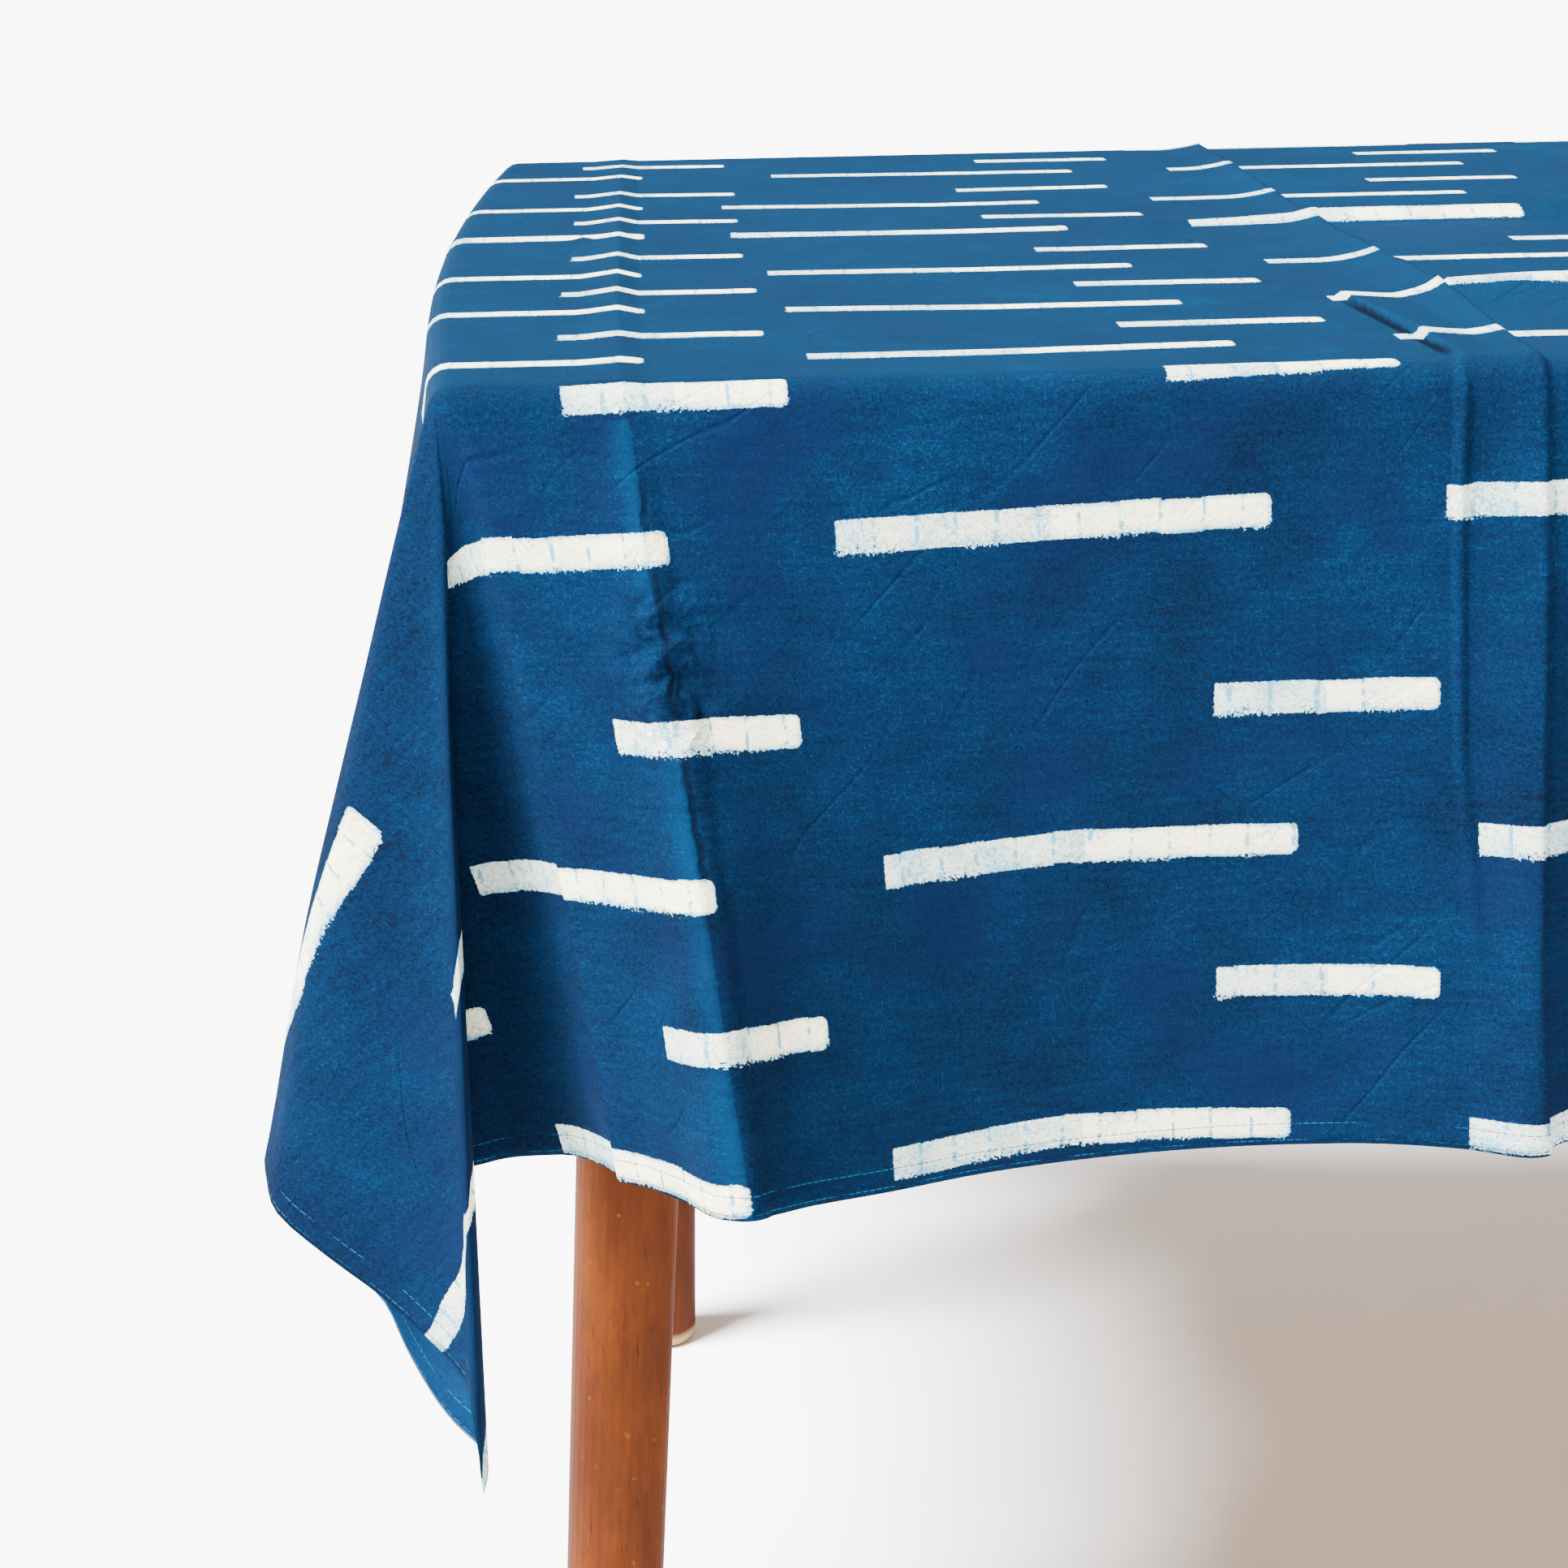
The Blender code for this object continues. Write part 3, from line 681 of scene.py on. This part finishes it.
def indigo_cotton(name, wrong_side):
    """The dyed cloth: its print, dye, stitches and fine surface, on one of its sides."""
    made, shader = new_material(name)
    flat = Wire.node("ShaderNodeUVMap", {"uv_map": "flat_cloth"}, {})
    across, back = flat_parts(flat)
    along, rows = flat_parts(Wire.node("ShaderNodeUVMap", {"uv_map": "print"}, {}))
    grain = noise(flat, 900.0, 1.0) * 0.65 + noise(flat, 390.0, 1.0) * 0.35
    patches = noise(flat, 7.0, 4.0, 0.6)
    smudges = noise(flat, 34.0, 4.0, 0.6)

    # where the dashes are: long ones in odd rows, short ones in even rows
    row = Wire.maths("ROUND", rows / ROW_PITCH)
    odd = Wire.maths("PINGPONG", row, 1.0)
    half_length = HALF_SHORT + odd * (HALF_LONG - HALF_SHORT)
    centre = MIDDLE_SHORT + odd * (MIDDLE_LONG - MIDDLE_SHORT)
    dash = Wire.maths("ROUND", (along - centre) / DASH_PITCH)
    seed = Wire.node("ShaderNodeCombineXYZ", {}, {0: dash, 1: row})
    chance = Wire.node("ShaderNodeTexWhiteNoise", {"noise_dimensions": "2D"}, {"Vector": seed})
    block = Wire.maths("FLOOR", along / BLOCK_WIDTH + chance * 5.0)
    printed = Wire.node("ShaderNodeCombineXYZ", {}, {0: block, 1: row})
    shift = Wire.node("ShaderNodeTexWhiteNoise", {"noise_dimensions": "2D"}, {"Vector": printed})
    off_centre = along - centre - dash * DASH_PITCH
    off_row = rows - row * ROW_PITCH + (shift - 0.5) * 0.0009

    from_side = HALF_CLOTH_ACROSS - abs(across - MIDDLE_ACROSS)
    from_end = HALF_CLOTH_BACK - abs(back - MIDDLE_BACK)
    from_hem = Wire.maths("MINIMUM", from_side, from_end)

    # its outline: a rounded bar with a ragged edge, more so along its lower side
    fray = noise(flat, 620.0, 2.0, 0.7) - 0.5
    wander = noise(stretched(flat, 1.0, 0.2), 60.0, 2.0) - 0.5
    spray = noise(stretched(flat, 1.0, 0.3), 38.0, 1.0).ramp(0.42, 0.62)
    lower = (0.0 - off_row).ramp(0.001, 0.007)
    inside_end = half_length - abs(off_centre) + (chance - 0.5) * 0.003
    inside_edge = HALF_HEIGHT - abs(off_row) + wander * 0.0010
    corner = 0.0009 + (off_centre > 0.0) * 0.0026
    end_gap = Wire.maths("MAXIMUM", corner - inside_end, 0.0)
    edge_gap = Wire.maths("MAXIMUM", corner - inside_edge, 0.0)
    depth = corner - Wire.maths("SQRT", end_gap * end_gap + edge_gap * edge_gap)
    depth = depth + fray * (0.0017 + lower * spray * 0.0068)
    bar = depth.ramp(-0.0001, 0.0005)

    # dye that crept in at the joints between two strikes of the block, and in cracks
    joint_place = along / BLOCK_WIDTH + chance * 5.0 + wander * 0.3 + fray * 0.10
    joint = abs(joint_place - Wire.maths("ROUND", joint_place)).ramp(0.022, 0.075, 1.0, 0.0)
    joint = joint * noise(flat, 190.0, 2.0).ramp(0.42, 0.62)
    crack = abs(noise(flat, 130.0, 3.0, 0.6) - 0.5).ramp(0.004, 0.022, 1.0, 0.0)
    crack = crack * noise(flat, 45.0, 1.0).ramp(0.54, 0.66)
    creep = joint * 0.90 + crack * 0.6 + smudges.ramp(0.40, 0.72) * 0.32 + lower * 0.22
    creep = creep + depth.ramp(0.0, 0.0026, 0.50, 0.0) + grain.ramp(0.44, 0.66) * 0.42

    # the dye: patches, smudges, streaks along the weave and the grain of the threads
    streaks = noise(stretched(flat, 1.0, 8.0), 38.0, 3.0)
    tone = patches * 0.52 + smudges * 0.34 + streaks * 0.26 + grain * 1.10 - 0.640
    if wrong_side:
        deep, middle, pale = linear(2, 20, 42), linear(3, 31, 58), linear(6, 45, 74)
        bare, veiled = linear(96, 120, 136), linear(46, 88, 120)
        edge = from_hem.ramp(0.0006, 0.0016, 0.8, 0.0)
        bar = bar * from_hem.ramp(0.0098, 0.0110, 0.0, 0.012) + edge
    else:
        deep, middle, pale = linear(1, 9, 23), linear(1, 22, 44), linear(2, 43, 72)
        bare, veiled = linear(223, 215, 178), linear(76, 128, 148)
    dye = mixed(tone.ramp(0.15, 0.60), deep, middle)
    dye = mixed(tone.ramp(0.52, 0.95), dye, pale)
    dye = mixed(noise(flat, 11.0, 3.0, 0.6).ramp(0.50, 0.68, 0.0, 0.50), dye, linear(6, 15, 40))
    bared = mixed(Wire.maths("MINIMUM", creep, 1.0), bare, veiled)
    slub = noise(flat, 1300.0, 0.0).ramp(0.80, 0.86)

    # painted light and shade: the dye made paler over the top where the light falls, a painted
    # highlight on the lit left flank of the left pressed crease above and below its crumple,
    # and painted shade under the pleat and along the crease's thin pinched groove
    gap = Wire.maths("MULTIPLY", across - 0.078, across - 0.078) * 2600.0
    crumpled = Wire.maths("EXPONENT", 0.0 - gap) * abs(back + 0.117).ramp(0.018, 0.045, 1.0, 0.0)
    from_crease = across + back * 0.029
    # painted highlight: a paler band on the lit left flank of the left crease, weaker on its
    # crumple
    painted_flank_highlight = from_crease.ramp(0.0640, 0.0768) * (from_crease < 0.0774) * (back < -0.012)
    painted_flank_highlight = painted_flank_highlight * smudges.ramp(0.3, 0.6, 0.5, 1.0) * (1.0 - crumpled)
    # painted shade: a thin dark line along the foot of the pleat's edge, where it overhangs
    painted_pleat_shade = abs(across - 0.4262 + back * 0.0874).ramp(0.0015, 0.0036, 1.0, 0.0)
    painted_pleat_shade = painted_pleat_shade * back.ramp(0.018, 0.040) * back.ramp(0.150, 0.205, 1.0, 0.0)
    # painted light: the dye made paler over the top, which faces the light
    painted_top_light = across.ramp(-0.050, -0.012) * across.ramp(1.615, 1.653, 1.0, 0.0)
    painted_top_light = painted_top_light * back.ramp(-0.004, 0.018) * back.ramp(0.840, 0.860, 1.0, 0.0)
    dye = mixed(painted_top_light * 0.26, dye, linear(12, 44, 66))
    dye = mixed(painted_flank_highlight * 0.28, dye, pale)
    dye = mixed(painted_pleat_shade * 0.9, dye, linear(*PAINTED_SHADE_COLOUR))
    # the crease's thin pinched line: a shallow groove in the bump, with painted shade along it
    pinch_line = 0.0806 + Wire.maths("MAXIMUM", 0.0 - back - 0.10, 0.0) * 0.045
    pinch_wander = (noise(flat, 70.0, 2.0) - 0.5) * 0.008
    pinch_groove_and_painted_shade = abs(across - pinch_line + pinch_wander).ramp(0.0004, 0.0022, 1.0, 0.0)
    pinch_groove_and_painted_shade = pinch_groove_and_painted_shade * back.ramp(-0.050, -0.030, 1.0, 0.0) * back.ramp(-0.250, -0.190)
    dye = mixed(pinch_groove_and_painted_shade * 0.5, dye, linear(*PAINTED_SHADE_COLOUR))
    colour = mixed(bar, mixed(slub * 0.35, dye, pale), bared)

    # two rows of stitches along the hem, at its fold and close to its edge
    run = mixed_value(from_side < from_end, across, back)
    length = Wire.maths("PINGPONG", run, HALF_STITCH)
    inner = abs(from_hem - HEM_FOLD).ramp(0.00012, 0.00032, 1.0, 0.0)
    outer = abs(from_hem - HEM_EDGE).ramp(0.00012, 0.00032, 1.0, 0.0)
    stitch = (inner + outer) * length.ramp(0.0003, 0.0005)
    stitch = stitch * Wire.maths("MAXIMUM", bar, noise(flat, 55.0, 1.0).ramp(0.40, 0.62))
    thread = mixed(bar, linear(16, 76, 108), linear(14, 30, 52))
    colour = mixed(Wire.maths("MINIMUM", stitch * 0.8, 1.0), colour, thread)

    # the surface: threads, small wrinkles, and the hem's groove and puckers
    threads = 12500.0
    weave = Wire.maths("SINE", across * threads) * Wire.maths("SINE", back * threads)
    hem_band = from_hem.ramp(0.006, 0.030, 1.0, 0.0)
    pucker = noise(flat, 150.0, 2.0) * hem_band
    ripple = noise(stretched(flat, 1.0, 2.6), 30.0, 3.0, 0.55)
    slant = Wire.node("ShaderNodeVectorRotate", {"rotation_type": "Z_AXIS"}, {0: flat, 3: -0.72})
    lines = abs(noise(stretched(slant, 0.9, 3.4), 9.0, 1.0) - 0.5).ramp(0.0, 0.030)
    lines = lines * noise(flat, 14.0, 1.0).ramp(0.50, 0.66)
    facets = abs(noise(flat, 52.0, 2.0, 0.45) - 0.5) * crumpled
    height = weave * 0.00005 + grain * 0.00040 + ripple * 0.0014 + lines * 0.0007
    height = height - facets * 0.028 - pinch_groove_and_painted_shade * 0.0008
    height = height + pucker * 0.0009 - inner * 0.0004 - outer * 0.0002
    bump = Wire.node("ShaderNodeBump", {}, {"Strength": 0.8, "Distance": 1.0, "Height": height})
    Wire.tree.links.new(colour.socket, shader.inputs["Base Color"])
    Wire.tree.links.new(bump.socket, shader.inputs["Normal"])
    shader.inputs["Roughness"].default_value = 0.95
    shader.inputs["Specular IOR Level"].default_value = 0.02
    return made


right_side = indigo_cotton("indigo_right_side", False)
wrong_side = indigo_cotton("indigo_wrong_side", True)
cloth_mesh.materials.append(right_side)
cloth_mesh.materials.append(wrong_side)
body = cloth.modifiers.new("thickness", "SOLIDIFY")
body.thickness = CLOTH_THICKNESS
body.offset = 0.0
body.material_offset = 1
body.material_offset_rim = 0
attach(cloth, "root")
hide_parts("tablecloth")

# The board. A plain flat top of pale wood panel, hidden by the cloth: its material is
# all that is added here.

board, shader = new_material("pale_panel")
place = Wire.node("ShaderNodeTexCoord", {}, {}, output=3)
figure = noise(stretched(place, 2.0, 40.0), 3.0, 4.0, 0.6)
colour = mixed(figure.ramp(0.3, 0.7), linear(176, 134, 92), linear(196, 158, 112))
Wire.tree.links.new(colour.socket, shader.inputs["Base Color"])
shader.inputs["Roughness"].default_value = 0.6
bpy.data.objects["table_top"].material_slots[0].material = board

# The legs. Round turned beech, stained warm brown, with short dark pores along the
# grain, a slanting figure, pale flecks, and the stain worn off round the foot.

leg_wood, shader = new_material("brown_stained_beech")
place = Wire.node("ShaderNodeTexCoord", {}, {}, output=3)
height_up = Wire.node("ShaderNodeSeparateXYZ", {}, {0: place}, output=2)
figure = noise(stretched(place, 1.0, 1.0, 0.30), 26.0, 4.0, 0.6)
pores = noise(stretched(place, 1.0, 1.0, 0.12), 620.0, 2.0, 0.6).ramp(0.58, 0.72)
pores = pores * noise(stretched(place, 1.0, 1.0, 0.5), 45.0, 1.0).ramp(0.35, 0.65)
flecks = noise(stretched(place, 1.0, 1.0, 0.8), 170.0, 1.0).ramp(0.70, 0.80)
fine = noise(stretched(place, 1.0, 1.0, 0.25), 420.0, 3.0, 0.6)
stain = mixed(figure.ramp(0.30, 0.70), linear(58, 22, 0), linear(84, 38, 1))
stain = mixed(fine.ramp(0.2, 0.8, 0.0, 0.35), stain, linear(38, 13, 1))
stain = mixed(pores * 0.75, stain, linear(18, 7, 3))
stain = mixed(flecks * 0.45, stain, linear(126, 68, 14))
worn = (height_up + figure * 0.006).ramp(0.008, 0.014, 1.0, 0.0)
stain = mixed(worn, stain, linear(140, 112, 80))
Wire.tree.links.new(stain.socket, shader.inputs["Base Color"])
relief = {"Strength": 0.5, "Distance": 1.0, "Height": fine * 0.00012 - pores * 0.00010}
grooved = Wire.node("ShaderNodeBump", {}, relief)
Wire.tree.links.new(grooved.socket, shader.inputs["Normal"])
shader.inputs["Roughness"].default_value = 0.65
shader.inputs["Specular IOR Level"].default_value = 0.06
for name in ("leg_front_left", "leg_front_right", "leg_back_left", "leg_back_right"):
    bpy.data.objects[name].material_slots[0].material = leg_wood

# The studio. A wide pale floor, soft light all round with a broad sun from the front
# left, and a camera that looks down a little on the front-left corner.

bpy.ops.mesh.primitive_plane_add(size=160.0, location=(0.0, 12.0, 0.0))
floor = bpy.context.active_object
floor.name = "studio_floor"
paper, shader = new_material("pale_paper")
shader.inputs["Base Color"].default_value = (0.89, 0.888, 0.90, 1.0)
shader.inputs["Roughness"].default_value = 0.9
floor.data.materials.append(paper)

world = bpy.data.worlds.new("studio_light")
bpy.context.scene.world = world
world.use_nodes = True
world.node_tree.nodes["Background"].inputs["Color"].default_value = (1.0, 0.99, 0.98, 1.0)
world.node_tree.nodes["Background"].inputs["Strength"].default_value = 0.85

sun = bpy.data.lights.new("window_light", "SUN")
sun.energy = 38.0
sun.angle = math.radians(28)
window = bpy.data.objects.new("window_light", sun)
bpy.context.scene.collection.objects.link(window)
shining_towards = Vector((0.58, 0.32, -0.86))
window.rotation_euler = shining_towards.to_track_quat("-Z", "Y").to_euler()

lens = bpy.data.cameras.new("studio_camera")
lens.sensor_width = 36.0
lens.lens = 78.83
camera = bpy.data.objects.new("studio_camera", lens)
bpy.context.scene.collection.objects.link(camera)
camera_place = (-0.7115, -1.8206, 0.9964)
heading, dip, tilt = -2.0696, 16.483, -1.0333
turned = Matrix.Rotation(math.radians(heading), 4, "Z")
turned @= Matrix.Rotation(math.radians(90 - dip), 4, "X")
turned @= Matrix.Rotation(math.radians(tilt), 4, "Z")
camera.matrix_world = Matrix.Translation(camera_place) @ turned
bpy.context.scene.camera = camera
